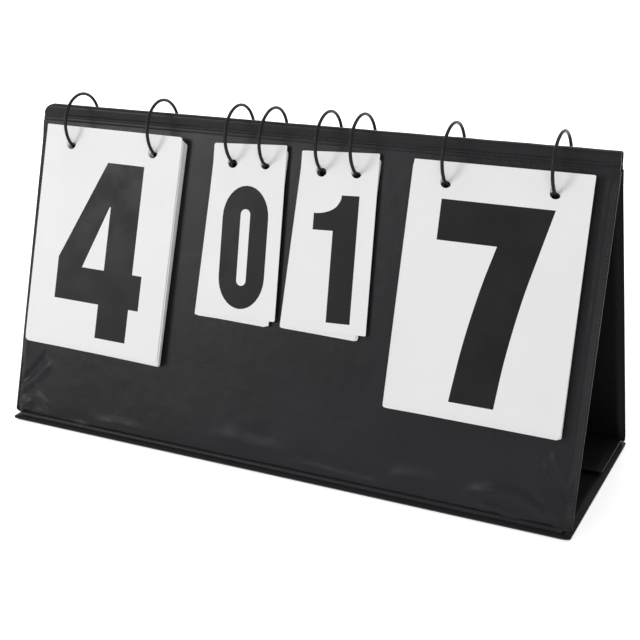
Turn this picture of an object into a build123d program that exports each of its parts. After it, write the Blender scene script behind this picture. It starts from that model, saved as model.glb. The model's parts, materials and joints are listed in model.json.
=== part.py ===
"""Tabletop flip scoreboard: a folding tent of three covered boards, its number cards flipping over the ridge.

Frame: X runs along the ridge, Y to the back and Z up. The origin is the middle of the base's underside.
The two slopes share one local frame: x across, y up the slope from the ridge line, z outward from the cover.
The back slope is the front one turned half a turn about Z, so its x runs the other way.
"""

import os
from math import atan2, cos, degrees, pi, radians, sin, sqrt

from build123d import *

# Tent: sizes over the covers, in millimetres
WIDTH = 400.0
APEX_HEIGHT = 212.5
BASE_DEPTH = 135.8
BOARD = 2.6  # grey board inside each panel
COVER = 0.5  # coated fabric on each side of a board
HEM = 1.2  # border of the covers along a board's two long edges
END_HEM = 6.0  # sewn border at each end, where the two covers come down on each other
END_SLOPE = 5.0  # how much of the end hem slopes down from the board to its thin edge
BOARD_PLAY = 0.2  # between a board's edge and the hem
RIDGE_PLAY = 0.3  # between the two halves of the soft ridge band
CREASE_PLAY = 0.3  # between the two panels' top edges
BAND = 0.8  # ridge band, two layers of fabric sewn together
ROLL_SEAM = 8.3  # down the slope, the seam from which the band stands up and rolls over the ridge
ROLL_CORNER = 8.5  # rounded corner of the band at its home end
FOOT_GAP = 1.6  # crease between a panel's foot and the base

# Closure flap, hinged to the back panel's foot and held to the base by touch fastener
FLAP_REACH = 50.0
FLAP_BOARD = 1.6
FLAP_COVER = 0.4
FLAP_INSET = 2.0  # each end of the flap stops this far inside the panels' ends
FLAP_PLAY = 0.4
TAPE = 0.9  # hook tape and loop tape, each
TAPE_PLAY = 0.1
TAPE_WIDTH = 25.0
TAPE_END = 30.0  # from the flap's ends to the tapes' ends

# Rings
RING_RADIUS = 19.0  # to the middle of the wire
WIRE = 2.0
RING_FACETS = 24
WIRE_SIDES = 8
SPLIT = 0.4  # open joint of a ring, kept inside the tent
PANEL_HOLE = 7.0
CARD_HOLE = 7.2
PANEL_HOLE_SIDES = 12
OUTER_HOLE_SIDES = 12
INNER_HOLE_SIDES = 8

# Cards
CARD = 0.25
CARD_PITCH = 0.28
FIRST_GAP = 0.3  # from a cover to the first card
LOOSE_GAP = 0.3  # from a pack to the loose card on top of it
LOOSE_RISE = 0.45  # a loose card's holes sit this far up the wire, clear of it as the card swings right over
SEAT = 0.75  # from the wire up to the top of a fixed card's hole, room for the wire as the tent folds
HOLE_MARGIN = 12.0  # from the middle of a card's holes to its top edge
CORNER = 3.0
INNER_CORNER = 1.8  # chamfer that stays inside the rounded corner
POINTS_CARD = (109.0, 148.0)
GAMES_CARD = (52.5, 111.0)
POINTS_PITCH = 66.0
GAMES_PITCH = 23.8

FAN_SWAY = 0.25  # degrees that the cards of a pack sway to and fro
SHIFT_SWAY = 0.3  # how far they slip sideways on their rings
SWAY_TURN = 2.4  # radians from one card's sway to the next
BACK_FAN = (0.5, 0.0)  # turn of the back packs' first card and last
POINTS_MARGIN_HOME = 8.6  # from the panel's home end to the points cards
POINTS_MARGIN_GUEST = 12.3  # from the panel's guest end to the points cards
GAMES_HOME = -33.4  # middle of the home games cards from the middle of the tent
GAMES_GUEST = 29.8

# Each stack: middle, ring centres below the ridge line, card size, hole pitch, fixed cards in front and back,
# turn in degrees and sideways shift of the loose front card, and turn of the first and last card behind it
STACKS = {
    "home_points": dict(
        x=POINTS_MARGIN_HOME + POINTS_CARD[0] / 2 - WIDTH / 2,
        drop=11.2,
        card=POINTS_CARD,
        pitch=POINTS_PITCH,
        front=17,
        back=4,
        turn=-0.5,
        shift=-0.5,
        fan=(-1.3, -0.5),
    ),
    "home_games": dict(
        x=GAMES_HOME,
        drop=10.4,
        card=GAMES_CARD,
        pitch=GAMES_PITCH,
        front=7,
        back=0,
        turn=2.8,
        shift=0.2,
        fan=(0.4, 0.0),
    ),
    "guest_games": dict(
        x=GAMES_GUEST,
        drop=10.0,
        card=GAMES_CARD,
        pitch=GAMES_PITCH,
        front=6,
        back=1,
        turn=2.6,
        shift=0.2,
        fan=(0.5, 0.0),
    ),
    "guest_points": dict(
        x=WIDTH / 2 - POINTS_MARGIN_GUEST - POINTS_CARD[0] / 2,
        drop=10.8,
        card=POINTS_CARD,
        pitch=POINTS_PITCH,
        front=14,
        back=7,
        turn=0.0,
        shift=0.5,
        fan=(0.9, 0.0),
    ),
}

PANEL = BOARD + 2 * COVER
HALF_DEPTH = BASE_DEPTH / 2
LEAN = atan2(HALF_DEPTH, APEX_HEIGHT)  # of each slope from upright
PANEL_TOP = (PANEL * cos(LEAN) + CREASE_PLAY / 2) / sin(LEAN)  # down the slope, where the inner faces part
ROLL = ROLL_SEAM * sin(LEAN)  # outer radius of the band's turn over the ridge
PANEL_FOOT = (APEX_HEIGHT - PANEL - FOOT_GAP - PANEL * sin(LEAN)) / cos(LEAN)
HINGE_FOOT = (APEX_HEIGHT - PANEL - CREASE_PLAY) / cos(LEAN)
FLAP = FLAP_BOARD + 2 * FLAP_COVER
FLAP_BOTTOM = PANEL + 2 * TAPE + TAPE_PLAY
FLAP_TOP = FLAP_BOTTOM + FLAP
FLAP_BACK = (APEX_HEIGHT - FLAP_TOP) * sin(LEAN) / cos(LEAN) - PANEL / cos(LEAN) - FLAP_PLAY
FLAP_WIDTH = WIDTH - 2 * FLAP_INSET

FRONT_SLOPE = Plane((0, 0, APEX_HEIGHT), x_dir=(1, 0, 0), z_dir=(0, -cos(LEAN), sin(LEAN)))
BACK_SLOPE = Plane((0, 0, APEX_HEIGHT), x_dir=(-1, 0, 0), z_dir=(0, cos(LEAN), sin(LEAN)))


def wire_at(drop, height):
    """How far down the slope a ring's wire crosses a plane this high above the cover."""
    off = drop * sin(LEAN) + height
    return drop * cos(LEAN) + sqrt(RING_RADIUS**2 - off**2)


def slab(width, top, foot, low, high):
    """A plate in a slope's frame, from top to foot down the slope and from low to high above the cover."""
    plate = Box(width, foot - top, high - low, align=(Align.CENTER, Align.MAX, Align.MIN))
    return Pos(0, -top, low) * plate


def hemmed(width, near, far, seam, face, cover):
    """Half of a covered panel, from seam to face, whose two ends slope down to the cover's own edge."""
    half = width / 2
    edge = seam + cover if face > seam else seam - cover
    end = [(half, seam), (half, edge), (half - END_SLOPE, face)]
    outline = Polygon(*end, *[(-x, z) for x, z in reversed(end)], align=None)
    return extrude(Plane.XZ.offset(-far) * outline, far - near, dir=(0, -1, 0))


def punch(diameter, sides, depth):
    """The plug that a round punch takes out, its flats as many as its size needs."""
    return extrude(RegularPolygon(diameter / 2, sides), depth)


def ring_xs(stack):
    return stack["x"] - stack["pitch"] / 2, stack["x"] + stack["pitch"] / 2


def panel_pieces(mirrored):
    """Outer cover, board and lining of one sloping panel, each with the row of ring holes, in its frame."""
    top, foot, low = PANEL_TOP, PANEL_FOOT, -PANEL
    middle = -PANEL / 2
    core = slab(WIDTH - 2 * END_HEM, top + HEM, foot - HEM, low + COVER, -COVER)
    cover = hemmed(WIDTH, -foot, -top, middle, 0, COVER) - core
    lining = hemmed(WIDTH, -foot, -top, middle, low, COVER) - core
    play = HEM + BOARD_PLAY
    board = slab(WIDTH - 2 * (END_HEM + BOARD_PLAY), top + play, foot - play, low + COVER, -COVER)
    plug = punch(PANEL_HOLE, PANEL_HOLE_SIDES, PANEL + 2)
    turn = -1 if mirrored else 1
    xs = [turn * x for stack in STACKS.values() for x in ring_xs(stack)]
    downs = [wire_at(stack["drop"], middle) for stack in STACKS.values() for _ in range(2)]
    row = [Pos(x, -down, low - 1) * plug for x, down in zip(xs, downs)]
    return [piece - row for piece in (cover, board, lining)]


def ridge_band():
    """The front half of the soft band: flat from the board to its seam, then upright and over the ridge."""
    across, down = sin(LEAN), cos(LEAN)
    hollow = ROLL - BAND
    inside = (hollow + BAND * down) / across  # down the slope, where the band's inner faces meet
    foot = (-PANEL_TOP * across, -PANEL_TOP * down)
    inner_foot = (foot[0] + BAND * down, foot[1] - BAND * across)
    bend = (-hollow, -inside * down - BAND * across)
    axis = [(0, -ROLL), (0, inner_foot[1])]
    outer = Polygon(foot, (-ROLL, -ROLL_SEAM * down), (-ROLL, -ROLL), *axis, inner_foot, align=None)
    inner = Polygon(inner_foot, bend, (-hollow, -ROLL), *axis, align=None)
    turn = Pos(0, -ROLL) * (Circle(ROLL) - Circle(hollow))
    half = Pos(-RIDGE_PLAY / 2, -ROLL) * Rectangle(APEX_HEIGHT, APEX_HEIGHT, align=(Align.MAX, Align.CENTER))
    section = (outer - inner + turn) & half
    band = Pos(0, 0, APEX_HEIGHT) * extrude(Plane.YZ * section, WIDTH / 2, both=True)
    square = Box(ROLL_CORNER, BASE_DEPTH, ROLL_CORNER, align=(Align.MIN, Align.CENTER, Align.MAX))
    round_ = Pos(ROLL_CORNER, 0, -ROLL_CORNER) * Rot(90, 0, 0) * Cylinder(ROLL_CORNER, BASE_DEPTH)
    return band - Pos(-WIDTH / 2, 0, APEX_HEIGHT) * (square - round_)


def hinge_strip():
    """Fabric that goes on from a panel's outer cover, across the crease at its foot."""
    return slab(WIDTH - 2 * END_SLOPE, PANEL_FOOT, HINGE_FOOT, -COVER, 0)


def flat_pieces(width, near, far, low, cover, board):
    """Bottom cover, board and top lining of a panel that lies flat."""
    high = low + board + 2 * cover
    seam = (low + high) / 2

    def filling(play):
        size = (width - 2 * (END_HEM + play), far - near - 2 * (HEM + play), board)
        return Pos(0, (near + far) / 2, seam) * Box(*size)

    bottom = hemmed(width, near, far, seam, low, cover) - filling(0)
    lining = hemmed(width, near, far, seam, high, cover) - filling(0)
    return bottom, filling(BOARD_PLAY), lining


def tape(bottom):
    """Touch-fastener tape under the middle of the flap."""
    middle = FLAP_BACK - FLAP_REACH / 2
    strip = Box(FLAP_WIDTH - 2 * TAPE_END, TAPE_WIDTH, TAPE, align=(Align.CENTER, Align.CENTER, Align.MIN))
    return Pos(0, middle, bottom) * strip


def ring(x, drop):
    """A split wire ring round the ridge, drawn as short straight rods of eight-sided wire."""
    opening = SPLIT / RING_RADIUS
    sections = []
    for step in range(RING_FACETS + 1):
        around = -pi / 2 + opening / 2 + (2 * pi - opening) * step / RING_FACETS
        section = []
        for side in range(WIRE_SIDES):
            angle = 2 * pi * (side + 0.5) / WIRE_SIDES
            reach = RING_RADIUS + WIRE / 2 * cos(angle)
            height = APEX_HEIGHT - drop + reach * sin(around)
            section.append((x + WIRE / 2 * sin(angle), reach * cos(around), height))
        sections.append(section)
    outlines = [sections[0], sections[-1]]
    for one, other in zip(sections, sections[1:]):
        for side in range(WIRE_SIDES):
            after = (side + 1) % WIRE_SIDES
            outlines.append([one[side], one[after], other[after], other[side]])
    faces = [Face(Wire.make_polygon(outline)) for outline in outlines]
    return Solid(Shell(faces))


def card_blank(size, pitch, loose):
    """One card, its hole line on the x axis and its reverse at z = 0."""
    width, height = size
    outline = Pos(0, HOLE_MARGIN - height / 2) * Rectangle(width, height)
    corners = outline.vertices()
    outline = fillet(corners, CORNER) if loose else chamfer(corners, INNER_CORNER)
    hole = RegularPolygon(CARD_HOLE / 2, OUTER_HOLE_SIDES if loose else INNER_HOLE_SIDES)
    return extrude(outline - [Pos(x, 0) * hole for x in (-pitch / 2, pitch / 2)], CARD)


def hung(blank, x, drop, low, turn, hang):
    """A card on its rings: low is its underside's height above the cover, turn its tilt in its own plane."""
    down = wire_at(drop, low + CARD / 2) + hang
    return Pos(x, -down, low) * Rot(0, 0, turn) * blank


def fixed_hang(pitch, turn):
    """How far the wire sits above the middle of a fixed card's holes, seated under the higher of the two."""
    hole_top = CARD_HOLE / 2 * cos(pi / INNER_HOLE_SIDES)
    return hole_top - WIRE / 2 - SEAT - pitch / 2 * abs(sin(radians(turn)))


def pack_height(count):
    """The top of a pack of this many fixed cards above the cover."""
    return FIRST_GAP + (count - 1) * CARD_PITCH + CARD if count else 0.0


def pack(stack, count, x, fan):
    """The fixed cards of one side, fanned evenly from the first, on the cover, to the last."""
    blank = card_blank(stack["card"], stack["pitch"], loose=False)
    first, last = fan
    cards = []
    for number in range(count):
        sway = sin(SWAY_TURN * number)
        turn = first + (last - first) * number / max(count - 1, 1) + FAN_SWAY * sway
        hang = fixed_hang(stack["pitch"], turn)
        low = FIRST_GAP + number * CARD_PITCH
        cards.append(hung(blank, x + SHIFT_SWAY * sway, stack["drop"], low, turn, hang))
    return cards


def loose_card(stack, count, x, turn):
    blank = card_blank(stack["card"], stack["pitch"], loose=True)
    return hung(blank, x, stack["drop"], pack_height(count) + LOOSE_GAP, turn, -LOOSE_RISE)


def build():
    """Every sub-part by its node's name."""
    front, back = FRONT_SLOPE.location, BACK_SLOPE.location
    nodes = {}
    for side, place, mirrored in (("front", front, False), ("back", back, True)):
        cover, board, lining = (place * piece for piece in panel_pieces(mirrored))
        nodes[side + "_cover"], nodes[side + "_board"], nodes[side + "_lining"] = cover, board, lining
        nodes[side + "_hinge_strip"] = place * hinge_strip()
    band = ridge_band()
    nodes["ridge_band_front"], nodes["ridge_band_back"] = band, mirror(band, Plane.XZ)

    flat = flat_pieces(WIDTH, -HALF_DEPTH, HALF_DEPTH, 0, COVER, BOARD)
    nodes["base_cover"], nodes["base_board"], nodes["base_lining"] = flat
    flat = flat_pieces(FLAP_WIDTH, FLAP_BACK - FLAP_REACH, FLAP_BACK, FLAP_BOTTOM, FLAP_COVER, FLAP_BOARD)
    nodes["flap_lining"], nodes["flap_board"], nodes["flap_cover"] = flat
    nodes["loop_tape"], nodes["hook_tape"] = tape(PANEL), tape(PANEL + TAPE + TAPE_PLAY)

    for name, stack in STACKS.items():
        left, right = ring_xs(stack)
        nodes[name + "_ring_left"] = ring(left, stack["drop"])
        nodes[name + "_ring_right"] = ring(right, stack["drop"])
        x = stack["x"]
        loose = loose_card(stack, stack["front"], x + stack["shift"], stack["turn"])
        nodes[name + "_front_card"] = front * loose
        nodes[name + "_back_card"] = back * loose_card(stack, stack["back"], -x, 0)
        cards = pack(stack, stack["front"], x, stack["fan"])
        nodes[name + "_front_pack"] = Compound([front * card for card in cards])
        if stack["back"]:
            cards = pack(stack, stack["back"], -x, BACK_FAN)
            nodes[name + "_back_pack"] = Compound([back * card for card in cards])
    return nodes


os.makedirs("parts", exist_ok=True)
for node, shape in build().items():
    export_step(shape, f"parts/{node}.step")
print("lean", round(degrees(LEAN), 3), "panel top", round(PANEL_TOP, 2), "panel foot", round(PANEL_FOOT, 2))
for name, stack in STACKS.items():
    for side in ("front", "back"):
        height = pack_height(stack[side]) + LOOSE_GAP + CARD / 2
        down = wire_at(stack["drop"], height)
        print(name, side, "loose card", round(height, 3), "above the cover, wire", round(down, 3), "down")
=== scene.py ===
"""Looks of a tabletop flip scoreboard: covered boards, number cards and wire rings.

Lengths are in metres. X runs along the ridge, Y to the back and Z up. Each slope has a frame of its own:
x across, y up the slope from the ridge line and z outward from the cover, so a place down the slope has
a negative y.
"""

import json
from math import atan2, ceil, cos, hypot, pi, radians, sin

import bmesh
import bpy
import numpy as np
from mathutils import Matrix, Vector, noise


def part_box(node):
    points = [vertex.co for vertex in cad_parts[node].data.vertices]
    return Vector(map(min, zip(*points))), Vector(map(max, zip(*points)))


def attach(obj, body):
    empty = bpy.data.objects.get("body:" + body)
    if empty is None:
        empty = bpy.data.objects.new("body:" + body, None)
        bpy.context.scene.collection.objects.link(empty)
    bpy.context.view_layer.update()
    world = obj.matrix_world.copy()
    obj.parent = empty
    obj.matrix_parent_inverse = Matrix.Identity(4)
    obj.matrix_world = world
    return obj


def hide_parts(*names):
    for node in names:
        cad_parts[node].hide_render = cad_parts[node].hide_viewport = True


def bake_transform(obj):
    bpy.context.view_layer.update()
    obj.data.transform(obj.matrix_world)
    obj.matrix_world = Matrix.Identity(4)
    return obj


bl_info = {
    "name": "Flip scoreboard",
    "version": (1, 0, 0),
    "blender": (4, 5, 0),
    "location": "3D View > Sidebar > Scoreboard",
    "description": "Builds the cloth, cards, rings and finishes of a tabletop flip scoreboard",
    "category": "Object",
}

MM = 0.001
CLOTH_MAP = "cloth"  # UV map in metres along the cloth

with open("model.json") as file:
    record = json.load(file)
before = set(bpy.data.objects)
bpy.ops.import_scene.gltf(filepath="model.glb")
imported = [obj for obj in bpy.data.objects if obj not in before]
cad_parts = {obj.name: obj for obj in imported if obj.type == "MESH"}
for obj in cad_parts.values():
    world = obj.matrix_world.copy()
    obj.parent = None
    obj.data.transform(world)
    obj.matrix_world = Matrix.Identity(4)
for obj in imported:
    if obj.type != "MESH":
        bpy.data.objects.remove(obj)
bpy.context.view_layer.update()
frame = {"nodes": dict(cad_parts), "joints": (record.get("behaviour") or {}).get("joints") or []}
JOINTS = {joint["name"]: joint for joint in frame["joints"]}
STACKS = ("home_points", "home_games", "guest_games", "guest_points")


# ---------------------------------------------------------------- sizes read from the construction


def size_of(node):
    low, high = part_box(node)
    return high - low


def middle_of(node):
    low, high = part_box(node)
    return (low + high) / 2


WIDTH = size_of("base_cover").x
HALF_DEPTH = size_of("base_cover").y / 2
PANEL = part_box("base_lining")[1].z  # thickness of a covered board
HEM_EASE = 0.5 * MM  # the cloth stands this far past each end of a board's hem
CLOTH_WIDTH = WIDTH + 2 * HEM_EASE
FOOT_LAP = 0.8 * MM  # how far a cover hangs past the foot of its board


# ---------------------------------------------------------------- properties


class ClothProperties(bpy.types.PropertyGroup):
    """Covered boards and the soft parts between them."""

    apex_height: bpy.props.FloatProperty(
        name="Apex height", description="Ridge line above the table", default=0.2125, unit="LENGTH"
    )
    cover: bpy.props.FloatProperty(
        name="Cloth thickness", description="Cloth on each side of a board", default=0.0005, unit="LENGTH"
    )
    hem: bpy.props.FloatProperty(
        name="Hem", description="Flattened border at each end of a board", default=0.0058, unit="LENGTH"
    )
    colour: bpy.props.FloatVectorProperty(
        name="Cloth colour", description="Coated cloth", default=(0.0112, 0.0108, 0.0128),
        subtype="COLOR", size=3, min=0.0, max=1.0,
    )
    weave_pitch: bpy.props.FloatProperty(
        name="Weave pitch", description="Distance between threads", default=0.00045, unit="LENGTH"
    )
    relief: bpy.props.FloatProperty(
        name="Fold height", description="Height of a fold listed as 1", default=0.0014, unit="LENGTH"
    )


class CardProperties(bpy.types.PropertyGroup):
    """Number cards."""

    hole: bpy.props.FloatProperty(
        name="Hole", description="Diameter of a ring hole", default=0.0072, unit="LENGTH"
    )
    margin: bpy.props.FloatProperty(
        name="Hole margin", description="Middle of the holes to the top edge", default=0.012, unit="LENGTH"
    )
    ink: bpy.props.FloatProperty(
        name="Ink thickness", description="Printed layer on a card", default=0.00003, unit="LENGTH"
    )
    colour: bpy.props.FloatVectorProperty(
        name="Card colour", description="White plastic card", default=(0.86, 0.86, 0.862),
        subtype="COLOR", size=3, min=0.0, max=1.0,
    )
    ink_colour: bpy.props.FloatVectorProperty(
        name="Ink colour", description="Printed numbers", default=(0.0085, 0.0083, 0.0087),
        subtype="COLOR", size=3, min=0.0, max=1.0,
    )


class RingProperties(bpy.types.PropertyGroup):
    """Wire rings."""

    opening: bpy.props.FloatProperty(
        name="Split", description="Open joint of a ring", default=0.0004, unit="LENGTH"
    )
    colour: bpy.props.FloatVectorProperty(
        name="Wire colour", description="Black enamelled wire", default=(0.012, 0.012, 0.0125),
        subtype="COLOR", size=3, min=0.0, max=1.0,
    )


class StageProperties(bpy.types.PropertyGroup):
    """Floor, lights and camera."""

    camera_place: bpy.props.FloatVectorProperty(
        name="Camera place", description="Camera in the object's frame",
        default=(0.35023, -0.673756, 0.367784), unit="LENGTH",
    )
    azimuth: bpy.props.FloatProperty(
        name="Azimuth", description="Turn of the camera round Z", default=radians(26.828), unit="ROTATION"
    )
    elevation: bpy.props.FloatProperty(
        name="Elevation", description="How far the camera looks down",
        default=radians(20.652), unit="ROTATION",
    )
    roll: bpy.props.FloatProperty(
        name="Roll", description="Turn about the line of sight", default=radians(-1.12), unit="ROTATION"
    )
    lens: bpy.props.FloatProperty(name="Lens", description="Focal length in millimetres", default=69.01)
    floor_tone: bpy.props.FloatProperty(
        name="Floor", description="Grey level of the floor", default=0.93, min=0.0, max=1.0
    )


# ---------------------------------------------------------------- frames and small helpers


def cloth():
    return bpy.context.scene.scoreboard_cloth


def cards():
    return bpy.context.scene.scoreboard_cards


def lean():
    """Each slope's angle from upright."""
    return atan2(HALF_DEPTH, cloth().apex_height)


def slope(side):
    """The frame of the front or back slope."""
    angle = lean()
    up, out = Vector((0, sin(angle), cos(angle))), Vector((0, -cos(angle), sin(angle)))
    place = Matrix((Vector((1, 0, 0)), up, out)).transposed().to_4x4()
    place.translation = (0, 0, cloth().apex_height)
    return place if side == "front" else Matrix.Rotation(pi, 4, "Z") @ place


def seen_from(place, points):
    """An array of points in the frame of a place."""
    back = np.array(place.inverted())
    return points @ back[:3, :3].T + back[:3, 3]


def in_frame(node, place):
    """A node's corner points as an array in another frame."""
    return seen_from(place, np.array([v.co for v in frame["nodes"][node].data.vertices]))


def smooth(t):
    """0 to 1 with level ends."""
    t = np.clip(t, 0.0, 1.0)
    return t * t * (3 - 2 * t)


def bump(t):
    """A rounded hill, 1 at 0 and nothing past -1 and 1."""
    return smooth(1 - np.abs(t))


def wavy(x, y, size, seed=0.0, octaves=2):
    """Smooth noise from about -1 to 1 over an array of places, with hills about this size."""
    flat = np.stack([np.ravel(x), np.ravel(y)], 1) / size
    made = [noise.fractal(Vector((a, b, seed)), 0.9, 2.1, octaves) for a, b in flat]
    return np.array(made).reshape(np.shape(x))


def linked(data, place=None):
    """An object in the scene for a mesh, curve, lamp or camera, its points taken to any place given."""
    thing = bpy.data.objects.new(data.name, data)
    bpy.context.scene.collection.objects.link(thing)
    if place is not None:
        data.transform(place)
    return thing


def mesh_of(name, points, faces):
    """A new mesh from its points and the faces between them."""
    made = bpy.data.meshes.new(name)
    made.from_pydata(points, [], faces)
    return made


def shaded(mesh, sharp=35.0):
    """Smooth shading with sharp edges where faces meet at more than this many degrees."""
    mesh.shade_smooth()
    mesh.set_sharp_from_angle(angle=radians(sharp))
    mesh.update()


def steps(start, end, size):
    """Evenly spaced places from start to end, about this far apart, both ends included."""
    return np.linspace(start, end, max(2, ceil(abs(end - start) / size) + 1))


def joined_steps(*spans):
    """Places over several spans, each (start, end, spacing), with no place twice."""
    found = [steps(*span)[1:] for span in spans]
    return np.concatenate([[spans[0][0]], *found])


def edged_steps(low, high, border, fine, coarse):
    """Places from low to high, closer together within a border at each end."""
    return joined_steps(
        (low, low + border, fine), (low + border, high - border, coarse), (high - border, high, fine)
    )


def turns(count):
    """Angles once round, evenly spaced."""
    return [2 * pi * step / count for step in range(count)]


def tube_faces(first, rings, sides):
    """Faces of a closed tube whose rings of points follow one another, the first point having this number."""
    starts = [first + ring * sides for ring in range(rings)]
    faces = []
    for start, after in zip(starts, starts[1:]):
        for turn in range(sides):
            onward = (turn + 1) % sides
            faces.append((start + turn, start + onward, after + onward, after + turn))
    near, far = (list(range(end, end + sides)) for end in (starts[0], starts[-1]))
    return [*faces, near[::-1], far]


# ---------------------------------------------------------------- shader groups


def feed(tree, socket, value):
    """Links an input to another node's socket, or sets it to a number or a colour."""
    if isinstance(value, bpy.types.NodeSocket):
        tree.links.new(value, socket)
    else:
        socket.default_value = value


def group(name, output, fill, **numbers):
    """The node group of this name, made once: a Vector and these numbers in, what fill makes of them out."""
    if name in bpy.data.node_groups:
        return bpy.data.node_groups[name]
    made = bpy.data.node_groups.new(name, "ShaderNodeTree")
    made.interface.new_socket("Vector", in_out="INPUT", socket_type="NodeSocketVector")
    for title, number in numbers.items():
        socket = made.interface.new_socket(title, in_out="INPUT", socket_type="NodeSocketFloat")
        socket.default_value = number
    made.interface.new_socket(output, in_out="OUTPUT", socket_type="NodeSocketFloat")
    given, out = made.nodes.new("NodeGroupInput"), made.nodes.new("NodeGroupOutput")
    made.links.new(fill(made, given.outputs), out.inputs[output])
    return made


def maths(tree, operation, *terms):
    """A Math node's output; each term is a number or a socket."""
    node = tree.nodes.new("ShaderNodeMath")
    node.operation = operation
    for socket, term in zip(node.inputs, terms):
        feed(tree, socket, term)
    return node.outputs[0]


def ranged(tree, value, low, high, start=0.0, end=1.0):
    """A value from low..high taken to start..end."""
    node = tree.nodes.new("ShaderNodeMapRange")
    node.interpolation_type = "SMOOTHSTEP"
    titles = ("Value", "From Min", "From Max", "To Min", "To Max")
    for title, term in zip(titles, (value, low, high, start, end)):
        feed(tree, node.inputs[title], term)
    return node.outputs["Result"]


def noise_of(tree, vector, scale, detail=3.0, stretch=None):
    """Noise over a vector, its cells stretched by three factors where they are given."""
    if stretch is not None:
        mapping = tree.nodes.new("ShaderNodeMapping")
        feed(tree, mapping.inputs["Scale"], stretch)
        feed(tree, mapping.inputs["Vector"], vector)
        vector = mapping.outputs["Vector"]
    node = tree.nodes.new("ShaderNodeTexNoise")
    for title, term in (("Vector", vector), ("Scale", scale), ("Detail", detail)):
        feed(tree, node.inputs[title], term)
    return node.outputs["Fac"]


def weave_group():
    """Plain weave under a thin coat: Height is 0 between the threads and 1 on top of them."""

    def fill(tree, given):
        parts = tree.nodes.new("ShaderNodeSeparateXYZ")
        tree.links.new(given["Vector"], parts.inputs[0])
        across, along = (maths(tree, "MULTIPLY", parts.outputs[axis], given["Threads"]) for axis in "XY")
        warp, weft = (
            maths(tree, "ABSOLUTE", maths(tree, "SINE", maths(tree, "MULTIPLY", count, pi)))
            for count in (across, along)
        )
        cell = maths(tree, "ADD", maths(tree, "FLOOR", across), maths(tree, "FLOOR", along))
        over = maths(tree, "MODULO", maths(tree, "ABSOLUTE", cell), 2.0)
        under = maths(tree, "SUBTRACT", 1.0, over)
        return maths(tree, "ADD", maths(tree, "MULTIPLY", warp, over), maths(tree, "MULTIPLY", weft, under))

    return group("plain_weave", "Height", fill, Threads=2200.0)


def mottle_group():
    """Slow uneven patches: Value runs from Low to High."""

    def fill(tree, given):
        slow = noise_of(tree, given["Vector"], given["Scale"], detail=4.0)
        return ranged(tree, slow, 0.3, 0.7, given["Low"], given["High"])

    return group("mottle", "Value", fill, Scale=12.0, Low=0.0, High=1.0)


def wear_group():
    """Rubbed edges and fine scuffs: Mask is 1 where the surface has worn."""

    def fill(tree, given):
        geometry = tree.nodes.new("ShaderNodeNewGeometry")
        edge = ranged(tree, geometry.outputs["Pointiness"], 0.52, 0.62)
        broken = ranged(tree, noise_of(tree, given["Vector"], 260.0, detail=5.0), 0.42, 0.62)
        rubbed = maths(tree, "MULTIPLY", maths(tree, "MULTIPLY", edge, broken), given["Edge"])
        streaks = noise_of(tree, given["Vector"], 70.0, detail=6.0, stretch=(0.35, 3.0, 1.0))
        scuffed = maths(tree, "MULTIPLY", ranged(tree, streaks, 0.62, 0.74), given["Scuffs"])
        return maths(tree, "MINIMUM", maths(tree, "ADD", rubbed, scuffed), 1.0)

    return group("wear", "Mask", fill, Edge=1.0, Scuffs=0.3)


def placed(tree, made, **values):
    """The output of a group placed in a material, with its inputs set or linked."""
    node = tree.nodes.new("ShaderNodeGroup")
    node.node_tree = made
    for title, value in values.items():
        feed(tree, node.inputs[title], value)
    return node.outputs[0]


def mixed_colour(tree, factor, a, b):
    """A blend of two colours, each a socket or three numbers."""
    node = tree.nodes.new("ShaderNodeMix")
    node.data_type = "RGBA"
    feed(tree, node.inputs["Factor"], factor)
    for title, colour in (("A", a), ("B", b)):
        feed(tree, node.inputs[title], (*colour, 1.0) if isinstance(colour, tuple) else colour)
    return node.outputs["Result"]


def tinted(colour, factor, lift=0.0):
    """A colour made darker or paler."""
    return tuple(channel * factor + lift for channel in colour)


def bumped(tree, height, strength, depth, normal=None):
    """The normal of a relief of this depth in metres, over another normal where one is given."""
    node = tree.nodes.new("ShaderNodeBump")
    for title, value in (("Strength", strength), ("Distance", depth), ("Height", height), ("Normal", normal)):
        if value is not None:
            feed(tree, node.inputs[title], value)
    return node.outputs["Normal"]


def material(name, build):
    """The material of this name, made once by build(tree, shader, place); place is in object coordinates."""
    if name in bpy.data.materials:
        return bpy.data.materials[name]
    made = bpy.data.materials.new(name)
    made.use_nodes = True
    tree = made.node_tree
    build(tree, tree.nodes["Principled BSDF"], tree.nodes.new("ShaderNodeTexCoord").outputs["Object"])
    return made


def hard_face(tree, shader, place, base, rough, specular, grain):
    """Colour, roughness, gloss and fine grain of a hard surface.

    rough is the scale of its uneven patches and their lowest and highest roughness, and grain is the scale of
    its noise with the strength and depth of the relief.
    """
    feed(tree, shader.inputs["Base Color"], base)
    scale, low, high = rough
    uneven = placed(tree, mottle_group(), Vector=place, Scale=scale, Low=low, High=high)
    feed(tree, shader.inputs["Roughness"], uneven)
    shader.inputs["Specular IOR Level"].default_value = specular
    scale, strength, depth = grain
    fine = noise_of(tree, place, scale, detail=2.0)
    feed(tree, shader.inputs["Normal"], bumped(tree, fine, strength, depth))


def dull_material(name, dark, pale, rough, relief, grain, contrast=None):
    """A dull material whose one grain gives both its colour and its relief.

    relief is the strength and depth, grain the scale and detail of the noise and its stretch if it has one,
    and contrast the span of the noise over which the colour changes.
    """

    def build(tree, shader, place):
        height = noise_of(tree, place, *grain)
        share = ranged(tree, height, *contrast) if contrast else height
        feed(tree, shader.inputs["Base Color"], mixed_colour(tree, share, dark, pale))
        shader.inputs["Roughness"].default_value = rough
        feed(tree, shader.inputs["Normal"], bumped(tree, height, *relief))

    return material(name, build)


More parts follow.
